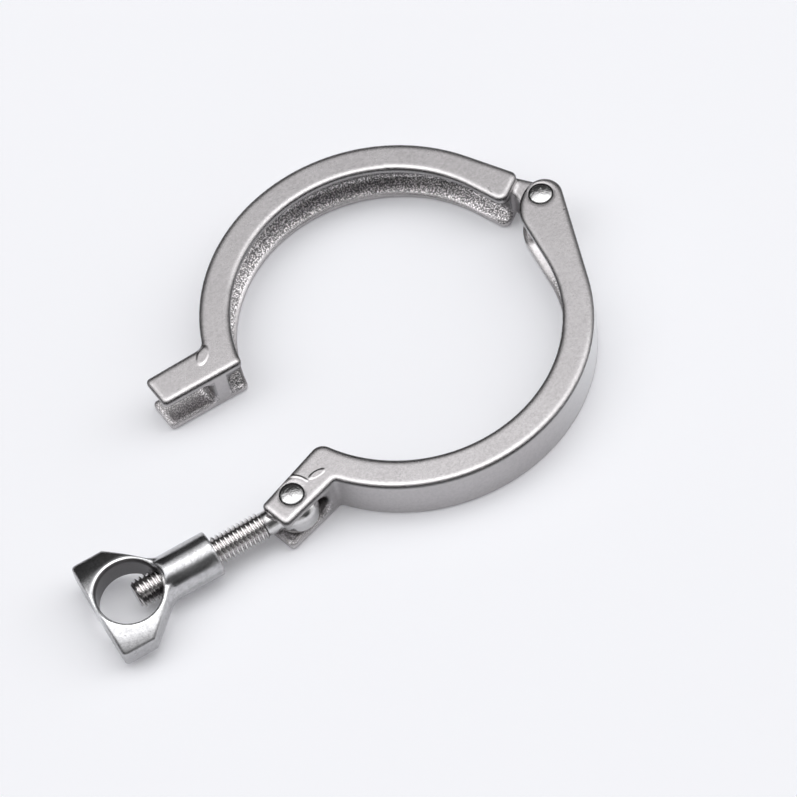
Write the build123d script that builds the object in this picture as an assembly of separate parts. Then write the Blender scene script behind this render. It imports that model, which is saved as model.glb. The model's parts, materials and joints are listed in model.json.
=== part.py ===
"""Sanitary hinged clamp for 3 inch (91 mm) clamp ferrules, with a swing bolt and a wing nut.

Two cast jaws turn about a riveted hinge pin. The bolt jaw carries the swing bolt in its fork,
and the slotted jaw has an open fork that the bolt drops into before the wing nut is run down.

Frame: the origin is the centre of the bolt jaw's ring, half way through its thickness.
+Z is the ring's axis, and +X points to the hinge pin. The bolt jaw lies on the -Y side.
All lengths are in millimetres and all angles in degrees.
"""

from build123d import *
import math
import os

# ---- the pose the clamp is stored in -------------------------------------------------
jaw_opening = 11.15        # turn of the slotted jaw out of the concentric, clamped pose
bolt_direction = 163.0     # direction of the swing bolt in plan, counted from +X
nut_distance = 24.3        # from the bolt pin to the near face of the wing nut
nut_roll = 4.2             # turn of the wing nut about the bolt, its -Y wing lower

# ---- both jaws -----------------------------------------------------------------------
jaw_thickness = 14.0
lip_radius = 41.2          # the two lips that reach behind the ferrules
ring_depth = 8.3           # from the lips to the outer wall
groove_depth = 4.8
groove_mouth = 10.4        # width of the groove between the lips
groove_flank = 20.0        # slope of each side of the groove
groove_floor_round = 1.4   # the two corners of its floor
groove_edge_round = 0.5    # where the flanks meet the lips
groove_edge_lean = 75      # how steeply that round runs out at the lips
slot_edge_round = 0.6      # edges of the fork slots
edge_round = 0.9           # tumbled outer edges

# ---- forks ---------------------------------------------------------------------------
fork_slot_width = 9.0      # between the two cheeks, along Z
fork_corner = 1.2          # rounding of a fork's outline at its free end

bolt_fork_reach = 14.4     # from the ring's outer radius to the free end
bolt_fork_facing = (7.2, 8.8)    # distance of the facing side from the X axis, root and end
bolt_fork_outer = 18.1     # distance of the far side from the X axis
bolt_fork_slot_end = -0.2  # from the ring's outer radius to the slot's inner end
bolt_fork_slot_corner = 4.0      # rounding of the slot's inner end
bolt_fork_shoulder = 3.4   # rounding where the facing side meets the lip
bolt_fork_crook = 0.8      # rounding where the far side meets the ring

slot_fork_reach = 14.1
slot_fork_facing = (8.1, 10.2)
slot_fork_outer = (18.7, 19.9)
slot_fork_slot_end = 0.2
slot_fork_slot_corner = 2.8
slot_fork_shoulder = 1.3
slot_fork_crook = 3.0

# ---- hinge ---------------------------------------------------------------------------
hinge_reach = 3.1          # from the bolt jaw's outer radius to the hinge pin
tongue_reach = 2.2         # from the slotted jaw's outer radius to its pin hole
pin_radius = 3.0           # the hinge pin and the bolt pin are alike
pin_play = 0.05            # radial running clearance round a pin
pin_dome = 0.5             # height of a peened head over the upper face
pin_countersink = 0.25

ear_slot_width = 9.2       # between the two ears, along Z
ear_slot_depth = 6.6       # from the hinge pin to the slot's closed end
ear_end_radius = 5.1
ear_end_offset = (0.5, -0.5)     # centre of the ears' round end, from the pin
ear_throat_start = -20.5   # angle on the ring where the ears' inner side leaves the lip
ear_throat_radius = 11.0   # blend from the inner side to the round end

tongue_play = 0.2          # gap between the tongue and each ear
tongue_radius = 4.8
tongue_root = (3.8, 8.6)   # where the tongue's sides leave the end face, along its direction
tongue_round = 0.4
jaw_end_point = (2.5, 4.9)       # a point of the slotted jaw's end face: past the lips, and Y
jaw_end_direction = 31.2   # direction of that face in plan
jaw_end_corner = 2.2
jaw_end_flare = 28.0       # angle on the ring where its outer side leaves the circle
jaw_end_lip = 20.0         # the same for its lips

# ---- swing bolt ----------------------------------------------------------------------
bolt_pin_at = (6.9, 12.6)        # outside the ring's outer radius, and below the X axis
eye_radius = 6.2
eye_play = 0.2             # gap between the eye and each cheek
eye_round = 2.6
shank_radius = 4.0
neck_radius = 3.4
thread_start = 9.2         # from the bolt pin to the first full turn
bolt_reach = 47.2          # from the bolt pin to the tip
tip_chamfer = 0.6

# ---- wing nut ------------------------------------------------------------------------
boss_radius = 6.25
boss_length = 14.7         # from the near face to the corner of the flare
boss_taper = 5.0           # length over which the boss sinks into the wings
nut_length = 33.9
wing_half_span = 14.8
wing_side = 9.4            # length of each wing's flat end, along the bolt
wing_corner = 1.2
wing_round = 0.5
flare_root = 6.1           # the flare's radius where it starts, inside the boss
flare_blend = 7.0          # rounding at that start
eyelet_radius = 8.7        # the finger hole through the wings
eyelet_wall = 0.9          # thinnest wall, between the finger hole and the straight back
eyelet_mouth = 3.6         # height over the middle where the hole starts to widen
eyelet_flare = 30.0        # slope of that widening
head_half_height = 4.9     # at the middle of the wings
tip_half_height = 2.8      # at the wing tips
bore_play = 0.05
bore_chamfer = 0.9

# ---- worked out ----------------------------------------------------------------------
half_thickness = jaw_thickness / 2
outer_radius = lip_radius + ring_depth
hinge_at = Vector(outer_radius + hinge_reach, 0)
tongue_at = Vector(outer_radius + tongue_reach, 0)
bolt_pin_centre = Vector(-outer_radius - bolt_pin_at[0], -bolt_pin_at[1])
eyelet_at = nut_length - eyelet_wall - eyelet_radius
far_out = 3 * outer_radius


def polar(radius, angle):
    """A point on a circle about the origin."""
    return Vector(radius, 0).rotate(Axis.Z, angle)


def left_of_centre(radius, y):
    """The point of a circle about the origin at this Y, on its -X side."""
    return Vector(-math.sqrt(radius**2 - y**2), y)


def arc_about(centre, radius, start, end):
    """The shorter arc about a centre that runs from the direction of one point to another."""
    first = (start - centre).normalized()
    last = (end - centre).normalized()
    middle = (first + last).normalized()
    return ThreePointArc(centre + first * radius, centre + middle * radius, centre + last * radius)


def ring_sector(start, end):
    """The plan of a jaw's ring between two angles, counter-clockwise."""
    disc = make_face(Polyline((0, 0), *pie_corners(start, end), close=True))
    return disc & (Circle(outer_radius) - Circle(lip_radius))


def pie_corners(start, end):
    """Far corners of a slice of a disc, no more than 60 degrees apart."""
    steps = math.ceil((end - start) / 60)
    return [polar(far_out, start + (end - start) * step / steps) for step in range(steps + 1)]


def tangent_point(centre, radius, outside, side):
    """Where the line from an outside point touches a circle, on one side of it (+1 or -1)."""
    away = outside - centre
    swing = math.degrees(math.acos(radius / away.length)) * side
    return centre + away.normalized().rotate(Axis.Z, swing) * radius


def round_corner(plan, point, radius):
    """Rounds the corner of a plan that lies nearest to a point."""
    corner = plan.vertices().sort_by_distance(Vertex(point.X, point.Y, 0))[0]
    return fillet(corner, radius)


def cast_slab(plan):
    """A plan at the jaws' full thickness, with tumbled edges round both faces."""
    slab = extrude(plan, half_thickness, both=True)
    return fillet(slab.faces().filter_by(Axis.Z).edges(), edge_round)


def cut_hollow(body, cutter, radius):
    """Cuts a hollow out of a body and rounds the edges that it leaves."""
    hollowed = body - cutter
    return fillet(new_edges(body, cutter, combined=hollowed), radius)


def groove_cutter():
    """The V groove that both jaws share, as a full ring that opens wide just inside the lips."""
    mouth = groove_mouth / 2
    wide = mouth + groove_edge_round * math.tan(math.radians(groove_edge_lean))
    floor = mouth - groove_depth * math.tan(math.radians(groove_flank))
    inside = lip_radius - groove_edge_round
    bottom = lip_radius + groove_depth
    half = [(inside, wide), (lip_radius, mouth), (bottom, floor)]
    mirrored = [(radius, -height) for radius, height in reversed(half)]
    section = make_face(Polyline(*half, *mirrored, close=True))
    section = fillet(section.vertices().group_by(Axis.X)[1], groove_edge_round)
    section = fillet(section.vertices().group_by(Axis.X)[-1], groove_floor_round)
    return revolve(Plane.XZ * section, Axis.Z, 360)


def fork_slot(inner_end, corner):
    """The slot of a fork, open at the free end and through both sides, with a round inner end."""
    slot = Pos(-outer_radius - inner_end - far_out / 2, 0, 0) * Box(far_out, far_out, fork_slot_width)
    inner_corners = slot.edges().filter_by(Axis.Y).group_by(Axis.X)[-1]
    return fillet(inner_corners, corner)


def pin_hole(centre):
    """The hole of a riveted pin, countersunk at both faces."""
    hole = Cylinder(pin_radius, jaw_thickness)
    flare = Cone(pin_radius, pin_radius + pin_countersink, pin_countersink)
    lift = half_thickness - pin_countersink / 2
    countersink = Pos(0, 0, lift) * flare
    return Pos(centre) * (hole + countersink + Rot(180, 0, 0) * countersink)


def fork_plan(facing, outer, reach, side):
    """The plan of a fork on the +Y or -Y side: facing and outer sides each as (root, end)."""
    facing_root = left_of_centre(lip_radius, side * facing[0])
    outer_root = left_of_centre(outer_radius, side * outer[0])
    inside = (facing_root.normalized() + outer_root.normalized()).normalized() * lip_radius
    end = -outer_radius - reach
    corners = [facing_root, Vector(end, side * facing[1]), Vector(end, side * outer[1]), outer_root]
    return make_face(Polyline(*corners, inside * 1.02, close=True)), corners


def ear_plan():
    """The plan of the hinge ears: a straight outer side, a round end and a curved throat."""
    # the outer side touches both the ring and the round end
    end_centre = hinge_at + Vector(*ear_end_offset)
    lean = math.degrees(math.acos((outer_radius - ear_end_radius) / end_centre.length))
    square = end_centre.normalized().rotate(Axis.Z, -lean)
    side_start = square * outer_radius
    side_end = end_centre + square * ear_end_radius

    # the throat's arc touches the straight inner side and wraps the round end
    across = polar(1, ear_throat_start)
    along = polar(1, ear_throat_start + 90)
    throat_start = across * lip_radius
    offset = end_centre - (throat_start + across * ear_throat_radius)
    gap = ear_throat_radius - ear_end_radius
    run = offset.dot(along) - math.sqrt(gap**2 - offset.dot(across) ** 2)
    throat_centre = throat_start + across * ear_throat_radius + along * run
    throat_end = throat_start + along * run
    wrap = end_centre + (end_centre - throat_centre).normalized() * ear_end_radius

    outline = [
        Line(side_start, side_end),
        arc_about(end_centre, ear_end_radius, side_end, wrap),
        arc_about(throat_centre, ear_throat_radius, wrap, throat_end),
        Line(throat_end, throat_start),
        arc_about(Vector(0, 0), lip_radius, throat_start, side_start),
        Line(square * lip_radius, side_start),
    ]
    return make_face(Wire(outline)), square


def ear_slot(square):
    """The space between the ears, closed by a flat end square to their straight side."""
    size = 4 * ear_slot_depth
    along_ears = square.rotate(Axis.Z, -90)
    face = Plane(origin=hinge_at + along_ears * ear_slot_depth, x_dir=(0, 0, 1), z_dir=-along_ears)
    return extrude(face * Rectangle(ear_slot_width, size), size)


def bolt_jaw():
    """The jaw on the -Y side: a fork for the swing bolt, the ring, and two hinge ears."""
    outer = (bolt_fork_outer, bolt_fork_outer)
    fork, corners = fork_plan(bolt_fork_facing, outer, bolt_fork_reach, -1)
    ears, ear_square = ear_plan()
    ring_start = 180 + math.degrees(math.asin(bolt_fork_facing[0] / lip_radius))
    ring_end = 360 + math.degrees(math.atan2(ear_square.Y, ear_square.X))
    plan = fork + ring_sector(ring_start, ring_end) + ears
    facing_root, facing_end, outer_end, outer_root = corners
    plan = round_corner(plan, facing_root, bolt_fork_shoulder)
    plan = round_corner(plan, facing_end, fork_corner)
    plan = round_corner(plan, outer_end, fork_corner)
    plan = round_corner(plan, outer_root, bolt_fork_crook)

    jaw = cast_slab(plan) - groove_cutter()
    jaw = cut_hollow(jaw, fork_slot(bolt_fork_slot_end, bolt_fork_slot_corner), slot_edge_round)
    return jaw - ear_slot(ear_square) - pin_hole(hinge_at) - pin_hole(bolt_pin_centre)


def end_face_point(distance):
    """A point of the slotted jaw's end face, in plan, at a distance along it."""
    return Vector(lip_radius + jaw_end_point[0], jaw_end_point[1]) + polar(distance, jaw_end_direction)


def end_face_meets(radius, angle):
    """How far along the end face it meets the tangent of a circle of the ring."""
    normal = polar(1, angle)
    return (radius - end_face_point(0).dot(normal)) / polar(1, jaw_end_direction).dot(normal)


def jaw_end_plan():
    """The slotted jaw's hinge end: the ring flares out and stops at a slanting end face."""
    inner = end_face_point(end_face_meets(lip_radius, jaw_end_lip))
    outer = end_face_point(end_face_meets(outer_radius, jaw_end_flare))
    lip_start = polar(lip_radius, jaw_end_lip)
    lip_back = polar(lip_radius, jaw_end_flare)
    flare_start = polar(outer_radius, jaw_end_flare)
    outline = [
        Line(inner, outer),
        Line(outer, flare_start),
        Line(flare_start, lip_back),
        arc_about(Vector(0, 0), lip_radius, lip_back, lip_start),
        Line(lip_start, inner),
    ]
    return make_face(Wire(outline)), inner, outer


def tongue():
    """The tongue that turns between the ears, with its pin hole."""
    inner_root, outer_root = (end_face_point(distance) for distance in tongue_root)
    back = polar(tongue_radius / 2, jaw_end_direction + 90)
    inner_touch = tangent_point(tongue_at, tongue_radius, inner_root, 1)
    outer_touch = tangent_point(tongue_at, tongue_radius, outer_root, -1)
    neck = make_face(Polyline(
        inner_root + back, inner_root, inner_touch, outer_touch, outer_root, outer_root + back, close=True
    ))
    plan = neck + Pos(tongue_at) * Circle(tongue_radius)
    body = extrude(plan, ear_slot_width / 2 - tongue_play, both=True)
    body = fillet(body.faces().filter_by(Axis.Z).edges(), tongue_round)
    return body - Pos(tongue_at) * Cylinder(pin_radius + pin_play, jaw_thickness)


def slotted_jaw():
    """The jaw on the +Y side, in its own frame: an open fork, the ring, and the hinge tongue."""
    fork, corners = fork_plan(slot_fork_facing, slot_fork_outer, slot_fork_reach, 1)
    end, inner_corner, outer_corner = jaw_end_plan()
    ring_end = 180 - math.degrees(math.asin(slot_fork_facing[0] / lip_radius))
    plan = fork + ring_sector(jaw_end_flare, ring_end) + end
    facing_root, facing_end, outer_end, outer_root = corners
    plan = round_corner(plan, facing_root, slot_fork_shoulder)
    plan = round_corner(plan, facing_end, fork_corner)
    plan = round_corner(plan, outer_end, fork_corner)
    plan = round_corner(plan, outer_root, slot_fork_crook)
    plan = round_corner(plan, inner_corner, jaw_end_corner)
    plan = round_corner(plan, outer_corner, jaw_end_corner)

    jaw = cast_slab(plan) - groove_cutter()
    jaw = cut_hollow(jaw, fork_slot(slot_fork_slot_end, slot_fork_slot_corner), slot_edge_round)
    return jaw + tongue()


def pin():
    """A riveted pin along Z: flush below, peened to a low dome above."""
    ball = (pin_radius**2 + pin_dome**2) / (2 * pin_dome)
    crown = half_thickness + pin_dome
    halfway = crown - ball + math.sqrt(ball**2 - (pin_radius / 2) ** 2)
    outline = [
        Line((0, -half_thickness), (pin_radius, -half_thickness)),
        Line((pin_radius, -half_thickness), (pin_radius, half_thickness)),
        ThreePointArc((pin_radius, half_thickness), (pin_radius / 2, halfway), (0, crown)),
        Line((0, crown), (0, -half_thickness)),
    ]
    return revolve(Plane.XZ * make_face(Wire(outline)), Axis.Z, 360)


def rod(radius, length):
    """A cylinder along +X from the origin."""
    return Rot(0, 90, 0) * Cylinder(radius, length, align=(Align.CENTER, Align.CENTER, Align.MIN))


def rod_cone(near_radius, far_radius, length):
    """A cone along +X from the origin."""
    cone = Cone(near_radius, far_radius, length, align=(Align.CENTER, Align.CENTER, Align.MIN))
    return Rot(0, 90, 0) * cone


def eye_bolt():
    """The swing bolt, along +X from its pin: an eye, a relieved neck and a plain shank."""
    eye = Cylinder(eye_radius, fork_slot_width - 2 * eye_play)
    eye = fillet(eye.edges(), eye_round)
    shank = chamfer(rod(shank_radius, bolt_reach - thread_start).edges(), tip_chamfer)
    body = eye + rod(neck_radius, thread_start) + Pos(thread_start, 0, 0) * shank
    return body - Cylinder(pin_radius + pin_play, jaw_thickness)


def bell():
    """The turned flare of the nut along +X: from inside the boss out past the wing tips."""
    start = boss_length / 2
    slope = (wing_half_span - flare_root) / (nut_length - wing_side - boss_length)
    rim = flare_root + slope * (nut_length - boss_length)
    outline = [(start, 0), (start, flare_root), (boss_length, flare_root), (nut_length, rim), (nut_length, 0)]
    profile = make_face(Polyline(*outline, close=True))
    return revolve(round_corner(profile, Vector(boss_length, flare_root), flare_blend), Axis.X, 360)


def wings():
    """The wings, thickest beside the finger hole and thinning in a crown to their flat tips."""
    sag = head_half_height - tip_half_height
    crown = (wing_half_span**2 + sag**2) / (2 * sag)
    upper = Pos(0, 0, head_half_height - crown) * Rot(0, 90, 0) * Cylinder(crown, far_out)
    lower = Pos(0, 0, crown - head_half_height) * Rot(0, 90, 0) * Cylinder(crown, far_out)
    plan = Pos(nut_length / 2, 0) * Rectangle(nut_length, 2 * wing_half_span)
    body = extrude(plan, head_half_height * 1.5, both=True) & upper & lower & bell()
    body = fillet(body.edges().filter_by(Axis.Z), wing_corner)
    return fillet(body.edges(), wing_round)


def eyelet():
    """The finger hole along Z, a little wider at both rims."""
    top = 2 * boss_radius
    rim = eyelet_radius + (top - eyelet_mouth) * math.tan(math.radians(eyelet_flare))
    half = [(0, top), (rim, top), (eyelet_radius, eyelet_mouth)]
    profile = Polyline(*half, *[(x, -z) for x, z in reversed(half)], close=True)
    return revolve(Plane.XZ * make_face(profile), Axis.Z, 360)


def wing_nut():
    """The wing nut along +X from its near face: a threaded boss and wings with a finger hole."""
    taper = rod_cone(boss_radius, head_half_height, boss_taper)
    boss = rod(boss_radius, boss_length) + Pos(boss_length, 0) * taper
    near_edge = boss.edges().group_by(Axis.X)[0]
    boss = fillet(near_edge, wing_round)
    body = boss + wings() - Pos(eyelet_at, 0, 0) * eyelet()
    hole_radius = shank_radius + bore_play
    bore = rod(hole_radius, eyelet_at) + rod_cone(hole_radius + bore_chamfer, hole_radius, bore_chamfer)
    return body - bore


def build():
    """Every piece at its place in the stored pose."""
    to_slotted_jaw = Pos(hinge_at) * Rot(0, 0, -jaw_opening) * Pos(-tongue_at)
    to_bolt = Pos(bolt_pin_centre) * Rot(0, 0, bolt_direction)
    return {
        "bolt_jaw": bolt_jaw(),
        "slotted_jaw": to_slotted_jaw * slotted_jaw(),
        "hinge_pin": Pos(hinge_at) * pin(),
        "bolt_pin": Pos(bolt_pin_centre) * pin(),
        "eye_bolt": to_bolt * eye_bolt(),
        "wing_nut": to_bolt * Pos(nut_distance, 0) * Rot(-nut_roll, 0, 0) * wing_nut(),
    }


if __name__ == "__main__":
    os.makedirs("parts", exist_ok=True)
    for name, solid in build().items():
        export_step(solid, f"parts/{name}.step")
        print(name, round(solid.volume, 1), solid.bounding_box())
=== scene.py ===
"""Sanitary hinged clamp: materials, the swing bolt's thread, a plain studio and the camera.

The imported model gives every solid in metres, in the part's own frame. The jaws, the pins and the wing
nut keep their solids and get materials here; the swing bolt is rebuilt with its real M8 thread.
"""

import json
import math

import bmesh
import bpy
from mathutils import Matrix, Vector


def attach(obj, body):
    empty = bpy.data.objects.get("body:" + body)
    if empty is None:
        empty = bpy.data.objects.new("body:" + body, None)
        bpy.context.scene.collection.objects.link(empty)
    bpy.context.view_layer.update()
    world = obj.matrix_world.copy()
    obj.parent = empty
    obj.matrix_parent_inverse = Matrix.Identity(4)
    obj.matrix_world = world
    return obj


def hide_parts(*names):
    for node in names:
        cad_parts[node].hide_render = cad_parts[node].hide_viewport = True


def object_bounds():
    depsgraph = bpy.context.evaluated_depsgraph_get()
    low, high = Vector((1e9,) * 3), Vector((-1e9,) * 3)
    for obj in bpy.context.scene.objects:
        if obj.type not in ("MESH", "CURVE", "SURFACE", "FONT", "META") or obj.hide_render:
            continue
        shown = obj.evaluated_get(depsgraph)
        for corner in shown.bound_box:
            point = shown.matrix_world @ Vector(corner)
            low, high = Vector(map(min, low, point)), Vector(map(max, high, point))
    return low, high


MM = 0.001

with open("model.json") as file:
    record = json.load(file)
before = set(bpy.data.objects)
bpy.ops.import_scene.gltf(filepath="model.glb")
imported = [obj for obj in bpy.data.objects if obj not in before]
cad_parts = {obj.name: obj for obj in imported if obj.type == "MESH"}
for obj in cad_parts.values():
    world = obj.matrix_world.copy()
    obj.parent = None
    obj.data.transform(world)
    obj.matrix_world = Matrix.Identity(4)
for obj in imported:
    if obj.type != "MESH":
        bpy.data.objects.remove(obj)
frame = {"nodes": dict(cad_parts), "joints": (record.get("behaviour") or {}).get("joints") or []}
cad_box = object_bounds()
joints = {joint["name"]: joint for joint in frame["joints"]}

# ---- places in the part's frame -----------------------------------------------------------
HINGE = Vector(joints["jaw_hinge"]["pos_m"])
BOLT_PIN = Vector(joints["bolt_swing"]["pos_m"])
BOLT_WAY = Vector(joints["nut_travel"]["axis"])  # along the bolt, from its pin to the wing nut
OPENING = math.radians(11.15)  # how far the slotted jaw is swung open
RING_TO_HINGE = 51.7 * MM
BOLT_RING = (0, 0)
SLOTTED_RING = HINGE - RING_TO_HINGE * Vector((math.cos(OPENING), -math.sin(OPENING), 0))
FINGER_HOLE = BOLT_PIN + 48.6 * MM * BOLT_WAY

# where the masks of the materials fade: each pair is where a mask starts to change and where it ends
GROOVE_INNER, GROOVE_OUTER = (41.5 * MM, 42.1 * MM), (46.4 * MM, 46.2 * MM)
GROOVE_LEVEL = (5.3 * MM, 4.8 * MM)
SLOT_INNER, SLOT_LEVEL = (49.7 * MM, 49.9 * MM), (4.62 * MM, 4.55 * MM)
GROOVE_FADE, SLOT_FADE, SLOT_SHARE = 3 * MM, 1 * MM, 0.6
LIT_BELOW_LEVEL = (0.5 * MM, -3.0 * MM)
TOP_EDGES = (5.0 * MM, 5.8 * MM)
LIT_SIDE_SPAN = (-8 * MM, 40 * MM)
PIN_GAP_SHADE = (3.45 * MM, 3.25 * MM)
HOLE_WALL = (9.1 * MM, 8.95 * MM)
RIM_INNER, RIM_OUTER = (9.0 * MM, 9.15 * MM), (10.4 * MM, 9.7 * MM)
RIM_FALL, WING_CROWN = (8.4 * MM, 9.8 * MM), (10 * MM, 24 * MM)
BOSS_REACH = (38 * MM, 33 * MM)
THREAD_DEEP, THREAD_START = (3.38 * MM, 3.2 * MM), (9.3 * MM, 9.6 * MM)


# ---- node helpers ---------------------------------------------------------------------------
class Nodes:
    """A material's or world's node tree, with short calls for the nodes used here."""

    def __init__(self, tree):
        self.tree = tree
        tree.nodes.clear()

    def add(self, kind, inputs=None, **settings):
        node = self.tree.nodes.new(kind)
        for name, value in settings.items():
            setattr(node, name, value)
        for name, value in (inputs or {}).items():
            self.put(node.inputs[name], value)
        return node

    def put(self, socket, value):
        if isinstance(value, bpy.types.NodeSocket):
            self.tree.links.new(value, socket)
        else:
            socket.default_value = value

    def math(self, operation, a, b=0.0):
        return self.add("ShaderNodeMath", {0: a, 1: b}, operation=operation).outputs[0]

    def plus(self, a, b):
        return self.math("ADD", a, b)

    def minus(self, a, b):
        return self.math("SUBTRACT", a, b)

    def times(self, a, b):
        return self.math("MULTIPLY", a, b)

    def squares(self, a, b):
        return self.plus(self.times(a, a), self.times(b, b))

    def vector(self, operation, a, b):
        return self.add("ShaderNodeVectorMath", {0: a, 1: b}, operation=operation).outputs

    def split(self, vector):
        return self.add("ShaderNodeSeparateXYZ", {"Vector": vector}).outputs

    def ramp(self, value, low, high, start=0.0, end=1.0):
        """start up to low, end from high on, and a smooth step between them."""
        inputs = {"Value": value, "From Min": low, "From Max": high, "To Min": start, "To Max": end}
        return self.add("ShaderNodeMapRange", inputs, interpolation_type="SMOOTHSTEP").outputs[0]

    def noise(self, vector, size, detail=2.0, roughness=0.5):
        """A noise whose blotches are about size metres across."""
        inputs = {"Vector": vector, "Scale": 1 / size, "Detail": detail, "Roughness": roughness}
        return self.add("ShaderNodeTexNoise", inputs).outputs["Fac"]

    def mix(self, factor, a, b):
        node = self.add("ShaderNodeMix", data_type="RGBA")
        colours = [socket for socket in node.inputs if socket.type == "RGBA"]
        self.put(node.inputs["Factor"], factor)
        self.put(colours[0], a)
        self.put(colours[1], b)
        return next(socket for socket in node.outputs if socket.type == "RGBA")

    def bump(self, height, distance, normal):
        inputs = {"Height": height, "Distance": distance, "Strength": 1.0, "Normal": normal}
        return self.add("ShaderNodeBump", inputs).outputs[0]

    def finish(self, kind, shader):
        """Joins a shader to a new output node of this kind."""
        self.put(self.add(kind).inputs["Surface"], shader)


def blank_material(name):
    """A new material and its empty node tree."""
    material = bpy.data.materials.new(name)
    material.use_nodes = True
    return material, Nodes(material.node_tree)


# ---- masks and marks in the plan --------------------------------------------------------------
def distance(nodes, x, y, centre):
    """Distance from a point of the plan."""
    return nodes.math("SQRT", nodes.squares(nodes.minus(x, centre[0]), nodes.minus(y, centre[1])))


def lens(nodes, x, y, centre, length, width, angle):
    """A raised oval mark, angle in degrees."""
    cosine, sine = math.cos(math.radians(angle)), math.sin(math.radians(angle))
    x = nodes.minus(x, centre[0])
    y = nodes.minus(y, centre[1])
    along = nodes.plus(nodes.times(x, cosine / length), nodes.times(y, sine / length))
    across = nodes.minus(nodes.times(y, cosine / width), nodes.times(x, sine / width))
    return nodes.ramp(nodes.squares(along, across), 1.5, 0.5)


def crescent(nodes, x, y, centre, radius, width, start, end):
    """A raised arc between two angles in degrees."""
    middle, half = math.radians((start + end) / 2), math.radians((end - start) / 2)
    reach = distance(nodes, x, y, centre)
    off = nodes.math("ABSOLUTE", nodes.minus(reach, radius))
    x = nodes.times(nodes.minus(x, centre[0]), math.cos(middle))
    y = nodes.times(nodes.minus(y, centre[1]), math.sin(middle))
    facing = nodes.math("DIVIDE", nodes.plus(x, y), reach)
    return nodes.times(nodes.ramp(off, width, 0), nodes.ramp(facing, math.cos(half), math.cos(half * 0.7)))


# painted shade darkens the groove and the slot, over their blasted cast finish
def ring_hollow(centre, slot_end, hinge_side):
    """Mask of a jaw's groove up to x = hinge_side and, fainter, of its fork's slot beyond x = slot_end."""

    def mask(nodes, x, y, z):
        radius = distance(nodes, x, y, centre)
        level = nodes.math("ABSOLUTE", z)
        groove = nodes.times(nodes.ramp(radius, *GROOVE_INNER), nodes.ramp(radius, *GROOVE_OUTER))
        groove = nodes.times(groove, nodes.ramp(level, *GROOVE_LEVEL))
        groove = nodes.times(groove, nodes.ramp(x, hinge_side, hinge_side - GROOVE_FADE))
        slot = nodes.times(nodes.ramp(radius, *SLOT_INNER), nodes.ramp(level, *SLOT_LEVEL))
        slot = nodes.times(slot, nodes.ramp(x, slot_end + SLOT_FADE, slot_end))
        return nodes.math("MAXIMUM", groove, nodes.times(slot, SLOT_SHARE))

    return mask


def hole_wall(nodes, x, y, z):
    """Mask of the wall inside the wing nut's finger hole, which painted shade darkens."""
    return nodes.ramp(distance(nodes, x, y, FINGER_HOLE), *HOLE_WALL)


def thread_root(nodes, x, y, z):
    """Mask of the roots of the swing bolt's thread, which painted shade darkens."""
    x = nodes.minus(x, BOLT_PIN[0])
    y = nodes.minus(y, BOLT_PIN[1])
    along = nodes.plus(nodes.times(x, BOLT_WAY[0]), nodes.times(y, BOLT_WAY[1]))
    across = nodes.minus(nodes.times(y, BOLT_WAY[0]), nodes.times(x, BOLT_WAY[1]))
    radius = nodes.math("SQRT", nodes.squares(across, z))
    return nodes.times(nodes.ramp(radius, *THREAD_DEEP), nodes.ramp(along, *THREAD_START))


def fork_marks(nodes, x, y):
    """Raised casting marks on the bolt jaw's fork, and a nick in the hinge ear's edge."""
    ripple = crescent(nodes, x, y, BOLT_PIN, 5.4 * MM, 0.55 * MM, -8, 62)
    oval = lens(nodes, x, y, (-47.9 * MM, -13.4 * MM), 2.2 * MM, 0.9 * MM, -14)
    nick = lens(nodes, x, y, (53.3 * MM, -8.2 * MM), 0.5 * MM, 0.35 * MM, 0)
    marks = nodes.plus(nodes.times(ripple, 0.10 * MM), nodes.times(oval, 0.14 * MM))
    return nodes.minus(marks, nodes.times(nick, 0.2 * MM))


def crook_marks(nodes, x, y):
    """A raised casting mark in the crook of the slotted jaw's fork, and a scratch near its hinge end."""
    oval = lens(nodes, x, y, (-41.4 * MM, 35.2 * MM), 2.8 * MM, 1.4 * MM, 31)
    scratch = lens(nodes, x, y, (45.1 * MM, 11.7 * MM), 1.1 * MM, 0.16 * MM, 68)
    return nodes.minus(nodes.times(oval, 0.16 * MM), nodes.times(scratch, 0.08 * MM))


def rim_marks(nodes, x, y):
    """The rim that falls toward the wing nut's finger hole, and the wings' slight crown."""
    reach = distance(nodes, x, y, FINGER_HOLE)
    return nodes.plus(nodes.ramp(reach, *RIM_FALL, 0.0, 0.30 * MM),
                      nodes.ramp(reach, *WING_CROWN, 0.0, -1.3 * MM))


# ---- materials of the solids ------------------------------------------------------------------
# painted shade: the black of the band along the upper edges and of the gaps round the pins
SHADE_BLACK = (0.03, 0.03, 0.03, 1)
# painted shade of the upright faces
WALL_SHADE = (0.25, 0.25, 0.255, 1)
# painted light on the upright faces toward the hinge
WALL_LIGHT = (0.88, 0.89, 0.89, 1)
# painted highlight on the wing nut's rim
RIM_HIGHLIGHT = (0.95, 0.95, 0.96, 1)
STREAK_STRETCH, STREAK = (0.35, 1.6, 1.0), 1.6 * MM
CLOUD = 9 * MM
BLASTED = 0.38 * MM


# warm grey of the painted shade and painted light in hollows
def hollow_grey(value):
    return value, 0.96 * value, 0.97 * value, 1


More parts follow.
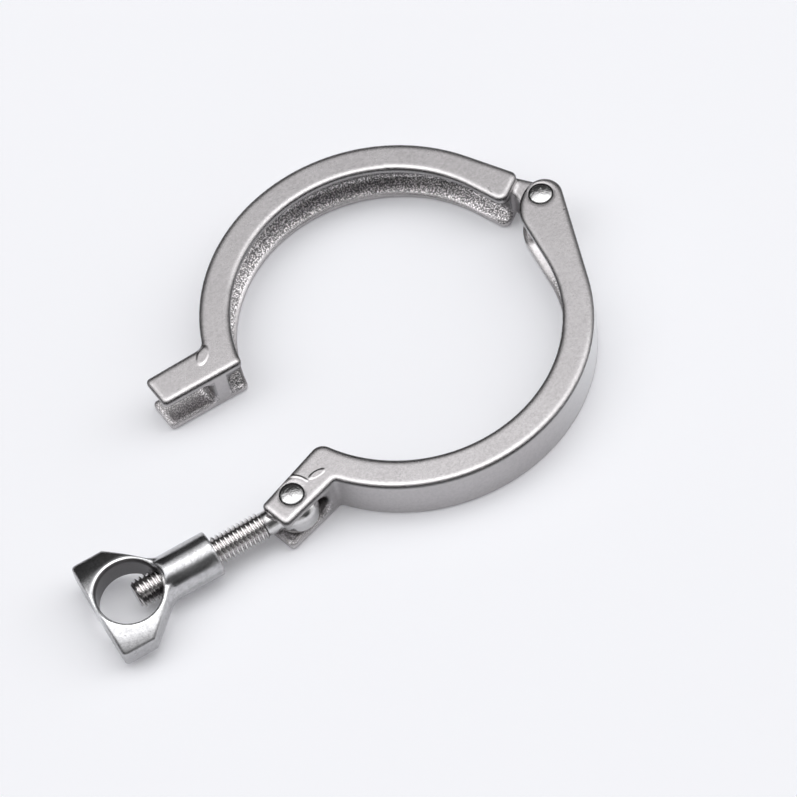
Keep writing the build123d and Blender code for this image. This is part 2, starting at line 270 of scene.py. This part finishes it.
def metal(name, colour, contrast, roughness, grain, relief, wall=0.0, round_off=1.2 * MM, hollow=None,
          hollow_look=None, gaps=(), marks=None, shade=0.0, rim=False, pale_side=0.0):
    """Stainless steel. grain is the size of its texture and relief the depth, in metres.

    contrast is how much darker the texture's dark spots are, wall the roughness that upright faces
    add, round_off how wide the tumbled edges are; upright faces also get painted shade. hollow gives
    a mask of places painted as hollow_look: the tone of their painted shade and of their paler
    speckle with painted light, roughness and depth of the texture. gaps are pins, each with painted
    shade in the gap round it, marks gives the height of raised marks on the upper face, and shade is
    how much painted shade darkens the steep part of the upper edges. rim gives the wing nut a painted
    highlight round its finger hole and a softer boss, and pale_side is how much painted light makes
    upright faces paler toward the hinge.
    """
    material, nodes = blank_material(name)
    place = nodes.add("ShaderNodeTexCoord").outputs["Object"]
    x, y, z = nodes.split(place)
    if round_off:
        normal = nodes.add("ShaderNodeBevel", {"Radius": round_off}, samples=6).outputs[0]
    else:
        normal = nodes.add("ShaderNodeNewGeometry").outputs["Normal"]
    rise = nodes.math("ABSOLUTE", nodes.split(normal)[2])
    upright = nodes.ramp(rise, 0.25, 0.02)
    edge = nodes.times(nodes.ramp(rise, 0.05, 0.25), nodes.ramp(rise, 0.9995, 0.99))

    fine = nodes.noise(place, grain, 3.0, 0.65)
    coarse = nodes.noise(place, grain * 3.2, 2.0, 0.6)
    pits = nodes.ramp(nodes.noise(place, grain * 1.7), 0.68, 0.76)
    cloud = nodes.noise(place, CLOUD)
    streaks = nodes.noise(nodes.vector("MULTIPLY", place, STREAK_STRETCH)[0], STREAK, 3.0)

    dark = [(1 - contrast) * part for part in colour]
    mottle = nodes.plus(nodes.ramp(fine, 0.3, 0.7, 0.0, 0.6), nodes.ramp(coarse, 0.35, 0.7, 0.0, 0.4))
    tone = nodes.mix(mottle, (*colour, 1), (*dark, 1))
    tone = nodes.mix(nodes.ramp(streaks, 0.5, 0.75, 0.0, 0.3), tone, (*dark, 1))
    tone = nodes.mix(nodes.times(pits, 0.5), tone, (*(0.6 * part for part in dark), 1))
    rough = nodes.ramp(cloud, 0.3, 0.7, roughness - 0.02, roughness + 0.03)
    rough = nodes.plus(rough, nodes.times(nodes.minus(coarse, 0.5), 0.12))
    rough = nodes.plus(rough, nodes.times(upright, wall))
    rough = nodes.minus(rough, nodes.times(edge, 0.55 * roughness))
    height = nodes.minus(nodes.plus(fine, coarse), pits)
    height = nodes.times(height, nodes.ramp(edge, 0.0, 1.0, 1.0, 0.5))

    # painted shade in hollows: the mask takes the low tone, and a speckle of the high tone and the texture
    # fade toward the top, so the upper part keeps painted shade and the lower part gets painted light
    if hollow:
        low, high, cast_rough, depth = hollow_look
        mask = hollow(nodes, x, y, z)
        cast = nodes.noise(place, BLASTED, 2.0, 0.6)
        lit_below = nodes.ramp(z, *LIT_BELOW_LEVEL, 0.18, 1.0)
        speckle = nodes.times(nodes.ramp(cast, 0.46, 0.62), lit_below)
        tone = nodes.mix(mask, tone, nodes.mix(speckle, hollow_grey(low), hollow_grey(high)))
        rough = nodes.plus(nodes.times(rough, nodes.minus(1.0, mask)), nodes.times(mask, cast_rough))
        height = nodes.plus(height, nodes.times(nodes.times(mask, cast), nodes.times(lit_below, depth)))
    # painted shade: upright faces are mixed toward a darker grey than the upper faces
    tone = nodes.mix(nodes.times(upright, 0.35), tone, WALL_SHADE)
    # painted shade: a black band along the steep part of the upper edges stands in for their dark
    # reflection
    if shade:
        steep = nodes.times(nodes.ramp(rise, 0.10, 0.24), nodes.ramp(rise, 0.92, 0.78, 0.0, shade))
        tone = nodes.mix(nodes.times(steep, nodes.ramp(z, *TOP_EDGES)), tone, SHADE_BLACK)
    # painted highlight: a near-white ring on the rim round the finger hole; the boss round the bolt only
    # gets rougher
    if rim:
        reach = distance(nodes, x, y, FINGER_HOLE)
        ring = nodes.times(nodes.ramp(reach, *RIM_INNER), nodes.ramp(reach, *RIM_OUTER, 0.0, 0.7))
        tone = nodes.mix(ring, tone, RIM_HIGHLIGHT)
        boss = nodes.ramp(distance(nodes, x, y, BOLT_PIN), *BOSS_REACH, 0.0, 0.12)
        rough = nodes.plus(nodes.plus(rough, nodes.times(ring, 0.08)), boss)
    # painted light: upright faces grow paler toward the hinge, a painted reflection of the light from that
    # side
    if pale_side:
        painted_light = nodes.times(upright, nodes.ramp(x, *LIT_SIDE_SPAN, 0.0, pale_side))
        tone = nodes.mix(painted_light, tone, WALL_LIGHT)
    # painted shade: a black ring in the gap round each pin
    for centre in gaps:
        tone = nodes.mix(nodes.ramp(distance(nodes, x, y, centre), *PIN_GAP_SHADE), tone, SHADE_BLACK)

    swell = nodes.times(cloud, 0.05 * MM)
    if marks:
        swell = nodes.plus(swell, marks(nodes, x, y))
    uneven = nodes.bump(height, relief, nodes.bump(swell, 1.0, normal))
    inputs = {"Base Color": tone, "Metallic": 1.0, "Roughness": rough, "Normal": uneven}
    nodes.finish("ShaderNodeOutputMaterial", nodes.add("ShaderNodeBsdfPrincipled", inputs).outputs[0])
    return material


JAW, NUT, PIN, BOLT = (0.635, 0.61, 0.615), (0.62, 0.615, 0.625), (0.72, 0.71, 0.71), (0.86, 0.845, 0.835)
JAW_LOOK = {
    "contrast": 0.20, "roughness": 0.24, "grain": 0.30 * MM, "relief": 0.008 * MM, "wall": 0.10,
    "round_off": 2.0 * MM, "hollow_look": (0.16, 1.0, 0.34, 3.8), "shade": 0.85,
}
steels = {
    "bolt_jaw": metal("jaw_steel", JAW, hollow=ring_hollow(BOLT_RING, -49 * MM, 41 * MM),
                      gaps=(BOLT_PIN, HINGE), marks=fork_marks, pale_side=0.85, **JAW_LOOK),
    "slotted_jaw": metal("slotted_jaw_steel", JAW, hollow=ring_hollow(SLOTTED_RING, -43 * MM, 60 * MM),
                         marks=crook_marks, **JAW_LOOK),
    "hinge_pin": metal("pin_steel", PIN, 0.25, 0.20, 0.9 * MM, 0.18 * MM, round_off=0.6 * MM),
    "wing_nut": metal("nut_steel", NUT, 0.36, 0.21, 0.40 * MM, 0.013 * MM, wall=0.06, hollow=hole_wall,
                      hollow_look=(0.13, 0.20, 0.34, 1.5), marks=rim_marks, rim=True),
}
steels["bolt_pin"] = steels["hinge_pin"]
for name, steel in steels.items():
    mesh = frame["nodes"][name].data
    mesh.materials.clear()
    mesh.materials.append(steel)


# ---- swing bolt with its thread, lengths from the bolt pin --------------------------------------
PITCH = 1.25 * MM
CREST, ROOT = 4.0 * MM, 3.15 * MM
ROOT_FLAT, FLANK = 0.14, 0.66  # shares of half a turn
END_SLOPE, END_STEP = 1.1, 0.1 * MM  # the thread's rise at its two ends, from a little under its root
NECK, NECK_SINK, NECK_LAP = 3.4 * MM, 0.6 * MM, 0.3 * MM
THREAD_FROM, TIP = 9.2 * MM, 47.2 * MM
EYE, EYE_HALF, EYE_ROUND, HOLE = 6.2 * MM, 4.3 * MM, 2.6 * MM, 3.05 * MM


def round_z(radius, angle, height):
    """A point at this distance from the Z axis."""
    return Vector((radius * math.cos(angle), radius * math.sin(angle), height))


def lathe(mesh, profile, turn, segments=96):
    """Adds a surface of revolution: profile is (distance from the axis, height), the axis is turn's Z."""
    rings = []
    for index in range(segments):
        angle = 2 * math.pi * index / segments
        rings.append([mesh.verts.new(turn @ round_z(r, angle, h)) for r, h in profile])
    for here, there in zip(rings, rings[1:] + rings[:1]):
        for k in range(len(profile) - 1):
            mesh.faces.new((here[k], there[k], there[k + 1], here[k + 1]))


def thread_radius(z, turns):
    """Radius of the threaded shank at a height and at an angle in turns."""
    flank = abs((z / PITCH - turns) % 1.0 - 0.5) * 2
    depth = min(max((flank - ROOT_FLAT) / FLANK, 0), 1)
    return min(ROOT + (CREST - ROOT) * depth, ROOT - END_STEP + END_SLOPE * min(z - THREAD_FROM, TIP - z))


def thread(mesh, turn, segments=48, steps=10):
    """Adds the threaded shank along turn's Z, from THREAD_FROM to TIP, faded in and out at its ends."""
    count = int((TIP - THREAD_FROM) / PITCH * steps)
    rings = []
    for k in range(count + 1):
        z = THREAD_FROM + (TIP - THREAD_FROM) * k / count
        ring = []
        for index in range(segments):
            radius, angle = thread_radius(z, index / segments), 2 * math.pi * index / segments
            ring.append(mesh.verts.new(turn @ round_z(radius, angle, z)))
        rings.append(ring)
    for here, there in zip(rings, rings[1:]):
        for index in range(segments):
            after = (index + 1) % segments
            mesh.faces.new((here[index], here[after], there[after], there[index]))
    mesh.faces.new(list(reversed(rings[0])))
    mesh.faces.new(rings[-1])


def arc(centre, radius, start, end, steps=8):
    """Points (r, h) of an arc, angles in degrees from the outward direction."""
    turn = [math.radians(start + (end - start) * k / steps) for k in range(steps + 1)]
    return [(centre[0] + radius * math.cos(a), centre[1] + radius * math.sin(a)) for a in turn]


eye_place = Matrix.Translation(BOLT_PIN)
shank_place = eye_place @ BOLT_WAY.to_track_quat("Z", "Y").to_matrix().to_4x4()
lower_round = arc((EYE - EYE_ROUND, -EYE_HALF + EYE_ROUND), EYE_ROUND, -90, 0)
upper_round = arc((EYE - EYE_ROUND, EYE_HALF - EYE_ROUND), EYE_ROUND, 0, 90)
eye_section = [(HOLE, -EYE_HALF), *lower_round, *upper_round, (HOLE, EYE_HALF), (HOLE, -EYE_HALF)]
neck_from = math.sqrt(EYE**2 - NECK**2) - NECK_SINK

work = bmesh.new()
lathe(work, eye_section, eye_place)
lathe(work, [(NECK, neck_from), (NECK, THREAD_FROM + NECK_LAP)], shank_place, 64)
thread(work, shank_place)
bmesh.ops.recalc_face_normals(work, faces=work.faces)
for face in work.faces:
    # the thread takes the first material, the eye and the neck the second
    face.material_index = int((face.calc_center_median() - BOLT_PIN).dot(BOLT_WAY) < THREAD_FROM)
bolt_mesh = bpy.data.meshes.new("threaded_bolt")
work.to_mesh(bolt_mesh)
work.free()
bolt_mesh.shade_smooth()
bolt_mesh.materials.append(metal("bolt_steel", BOLT, 0.25, 0.26, 0.5 * MM, 0.008 * MM, round_off=0.0,
                                 hollow=thread_root, hollow_look=(0.62, 0.72, 0.22, 0.0)))
bolt_mesh.materials.append(metal("eye_steel", PIN, 0.20, 0.12, 0.5 * MM, 0.010 * MM))
bolt = bpy.data.objects.new("threaded_bolt", bolt_mesh)
bpy.context.scene.collection.objects.link(bolt)
bolt.modifiers.new("sharp", "EDGE_SPLIT").split_angle = math.radians(40)
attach(bolt, "swing_bolt")
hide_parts("eye_bolt")


# ---- table ------------------------------------------------------------------------------------
SIDE = 4.0
TABLE_WHITE = (0.875, 0.875, 0.90, 1)
GLOW_WHITE, GLOW = (0.9, 0.9, 0.93, 1), 0.13


def table_material():
    """A pale matt table: part of its white is added for the camera and for mirror rays alike."""
    material, nodes = blank_material("table")
    path = nodes.add("ShaderNodeLightPath").outputs
    seen = nodes.math("MAXIMUM", path["Is Camera Ray"], path["Is Glossy Ray"])
    matt = nodes.add("ShaderNodeBsdfDiffuse", {"Color": TABLE_WHITE})
    glow = nodes.add("ShaderNodeEmission", {"Color": GLOW_WHITE, "Strength": nodes.times(seen, GLOW)})
    both = nodes.add("ShaderNodeAddShader", {0: matt.outputs[0], 1: glow.outputs[0]})
    nodes.finish("ShaderNodeOutputMaterial", both.outputs[0])
    return material


low = cad_box[0][2]
table_mesh = bpy.data.meshes.new("table")
corners = [(-SIDE, -SIDE, low), (SIDE, -SIDE, low), (SIDE, SIDE, low), (-SIDE, SIDE, low)]
table_mesh.from_pydata(corners, [], [(0, 1, 2, 3)])
table = bpy.data.objects.new("table", table_mesh)
table_mesh.materials.append(table_material())
bpy.context.scene.collection.objects.link(table)


# ---- sky and lamp -------------------------------------------------------------------------------
TURN = math.radians(-35.0867)  # the camera's, about Z
LAMP_AT, LAMP_SIZE, LAMP_POWER = Vector((0.05, 0.22, 1.15)), (0.5, 0.3), 0.6
SKY_PEAK = 2.1
SKY_COLOUR = (0.985, 0.99, 1.0, 1)
# the sky's brightness from the far horizon (0) over the top (0.5) to the near horizon (1)
SKY = ((0.0, 0.01), (0.25, 0.02), (0.30, 0.36), (0.34, 0.50), (0.39, 0.80), (0.44, 1.0), (0.54, 0.95),
       (0.60, 0.40), (0.66, 0.05), (0.95, 0.03))


def studio_sky(world, ahead, right):
    """A dome with bands of light across the view, and low light from the near and the right side."""
    world.use_nodes = True
    nodes = Nodes(world.node_tree)
    way = nodes.add("ShaderNodeTexCoord").outputs["Generated"]
    up = nodes.split(way)[2]
    forward = nodes.vector("DOT_PRODUCT", way, ahead)["Value"]
    sideways = nodes.vector("DOT_PRODUCT", way, right)["Value"]
    bands = nodes.add("ShaderNodeValToRGB", {
        "Fac": nodes.math("DIVIDE", nodes.math("ARCTAN2", up, forward), math.pi),
    })
    stops = bands.color_ramp.elements
    for index, (position, value) in enumerate(SKY):
        stop = stops[index] if index < 2 else stops.new(position)
        stop.position, stop.color = position, (value, value, value, 1)
    dome = nodes.times(bands.outputs["Color"], nodes.ramp(up, 0.20, 0.60))
    near = nodes.ramp(forward, -0.80, -0.92, 0.03, 0.55)
    beside = nodes.ramp(sideways, 0.70, 0.92, 0.0, 0.8)
    strength = nodes.plus(nodes.times(dome, SKY_PEAK), nodes.plus(near, beside))
    background = nodes.add("ShaderNodeBackground", {"Color": SKY_COLOUR, "Strength": strength})
    nodes.finish("ShaderNodeOutputWorld", background.outputs[0])


def softbox(name, place, aim, width, height, power):
    """A rectangular lamp that faces a point."""
    lamp = bpy.data.lights.new(name, "AREA")
    lamp.shape = "RECTANGLE"
    lamp.size, lamp.size_y, lamp.energy = width, height, power
    holder = bpy.data.objects.new(name, lamp)
    holder.location = place
    holder.rotation_euler = (Vector(aim) - Vector(place)).to_track_quat("-Z", "Y").to_euler()
    bpy.context.scene.collection.objects.link(holder)


away = Matrix.Rotation(TURN, 3, "Z")
bpy.context.scene.world = bpy.data.worlds.new("studio")
studio_sky(bpy.context.scene.world, away @ Vector((0, 1, 0)), away @ Vector((1, 0, 0)))
softbox("top_light", away @ LAMP_AT, (0, 0, 0), *LAMP_SIZE, LAMP_POWER)


# ---- camera -------------------------------------------------------------------------------------
ELEVATION, ROLL = math.radians(58.20), math.radians(-13.35)
DISTANCE, LENS, SENSOR = 1.0566, 180.70, 36.0
TARGET = Vector((-12.98 * MM, -7.20 * MM, low))

camera_data = bpy.data.cameras.new("camera")
camera_data.lens, camera_data.sensor_width = LENS, SENSOR
camera_data.clip_start, camera_data.clip_end = 0.05, 20.0
camera = bpy.data.objects.new("camera", camera_data)
view = away.to_4x4() @ Matrix.Rotation(math.pi / 2 - ELEVATION, 4, "X") @ Matrix.Rotation(ROLL, 4, "Z")
camera.matrix_world = Matrix.Translation(TARGET + view.to_3x3() @ Vector((0, 0, DISTANCE))) @ view
bpy.context.scene.collection.objects.link(camera)
bpy.context.scene.camera = camera
bpy.context.scene.view_settings.view_transform = "Standard"
